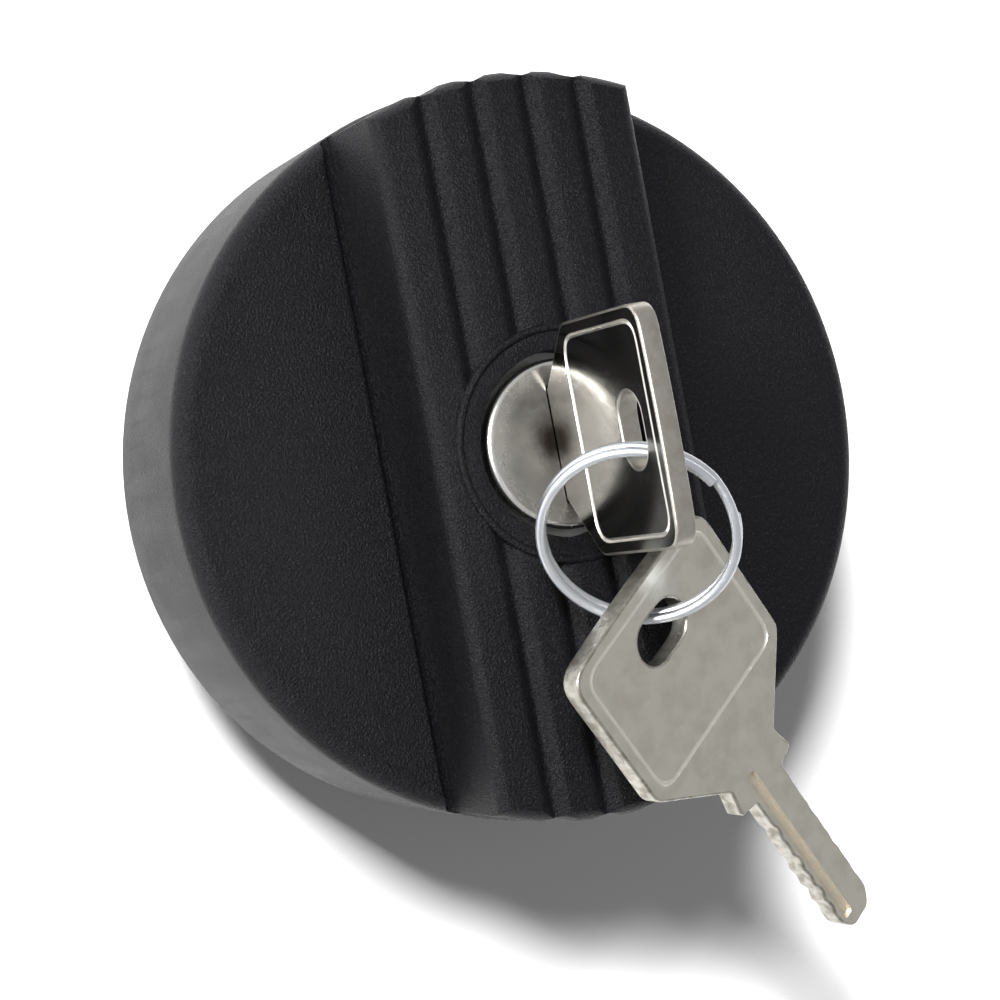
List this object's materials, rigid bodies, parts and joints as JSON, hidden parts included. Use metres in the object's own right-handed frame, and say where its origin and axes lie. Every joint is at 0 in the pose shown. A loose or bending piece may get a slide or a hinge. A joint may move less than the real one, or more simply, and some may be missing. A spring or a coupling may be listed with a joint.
{
  "type": "locking fuel filler cap with keys",
  "caption": "Black locking fuel filler cap with a ribbed grip bar and a key lock that draws its bolts, shown with a key in the lock and a second key on a split ring.",
  "frame": {"origin": "centre of the gasket's sealing face, on the cap's axis", "axes": "+Z along the cap's axis out of the filler neck towards the user, +Y along the grip bar, +X across it"},
  "size_m": [0.0808, 0.0984, 0.0752],
  "materials": {
    "black_shell": "fine spark-eroded grain",
    "closure_plastic": "satin moulded",
    "gasket_rubber": "matt",
    "lock_zinc": "as die cast",
    "plug_zinc": "as die cast",
    "satin_steel": "satin with a bright rolled rim",
    "spring_steel": "bright drawn",
    "screw_zinc": "zinc plated",
    "valve_plastic": "natural white",
    "bolt_steel": "machined",
    "wafer_brass": "stamped",
    "key_bright": "polished nickel plate",
    "key_satin": "worn satin nickel plate with brass showing in the grooves",
    "ring_zinc": "bluish zinc plate"
  },
  "bodies": {
    "cap": {"outer_shell": "black_shell", "closure_body": "closure_plastic", "seal_plate": "closure_plastic", "gasket": "gasket_rubber", "lock_housing": "lock_zinc", "bolt_carrier": "closure_plastic", "shell_screws": "screw_zinc", "carrier_screws": "screw_zinc", "base_plate": "closure_plastic", "base_screws": "screw_zinc", "valve_housing": "valve_plastic", "valve_spring": "spring_steel"},
    "lock_barrel": {"lock_plug": "plug_zinc", "lock_face_cover": "satin_steel", "dust_shutter": "spring_steel", "shutter_pin": "spring_steel", "shutter_spring": "spring_steel", "plug_o_ring": "gasket_rubber", "plug_circlip": "spring_steel", "lock_cam": "plug_zinc", "cam_screw": "screw_zinc", "wafer_1": "wafer_brass", "wafer_2": "wafer_brass", "wafer_3": "wafer_brass", "wafer_4": "wafer_brass", "wafer_5": "wafer_brass", "wafer_6": "wafer_brass", "wafer_spring_1": "spring_steel", "wafer_spring_2": "spring_steel", "wafer_spring_3": "spring_steel", "wafer_spring_4": "spring_steel", "wafer_spring_5": "spring_steel", "wafer_spring_6": "spring_steel"},
    "bolt_1": {"lock_bolt_1": "bolt_steel"},
    "bolt_2": {"lock_bolt_2": "bolt_steel"},
    "valve": {"valve_disc": "valve_plastic", "valve_seal": "gasket_rubber"},
    "key": {"lock_key": "key_bright"},
    "ring": {"split_ring": "ring_zinc"},
    "spare": {"spare_key": "key_satin"}
  },
  "joints": [
    {"name": "lock_turn", "type": "hinge", "parent": "cap", "child": "lock_barrel", "pos_m": [0, 0, 0], "axis": [0, 0, 1], "range_deg": [0, 90]},
    {"name": "bolt_1_slide", "type": "slide", "parent": "cap", "child": "bolt_1", "axis": [1, 0, 0], "range_m": [-0.00401, 0]},
    {"name": "bolt_2_slide", "type": "slide", "parent": "cap", "child": "bolt_2", "axis": [-1, 0, 0], "range_m": [-0.00401, 0]},
    {"name": "valve_lift", "type": "slide", "parent": "cap", "child": "valve", "axis": [0, 0, 1], "range_m": [0, 0.0011], "stiffness_N_per_m": 40, "springref_m": -0.0006, "deforming": ["valve_spring"]},
    {"name": "key_pull", "type": "slide", "parent": "lock_barrel", "child": "key", "axis": [0, 0, 1], "range_m": [0, 0.027]},
    {"name": "ring_swing", "type": "hinge", "parent": "key", "child": "ring", "pos_m": [0, -0.00216, 0.04115], "axis": [-0.8522, 0.2766, -0.4441], "range_deg": [0, 60]},
    {"name": "spare_swing", "type": "hinge", "parent": "ring", "child": "spare", "pos_m": [0.00299, -0.01934, 0.0319], "axis": [-0.8031, -0.005, -0.5958], "range_deg": [0, 45]}
  ],
  "couplings": [
    {"joint": "bolt_1_slide", "follows": "lock_turn", "m_per_rad": -0.0025465},
    {"joint": "bolt_2_slide", "follows": "lock_turn", "m_per_rad": -0.0025465}
  ]
}
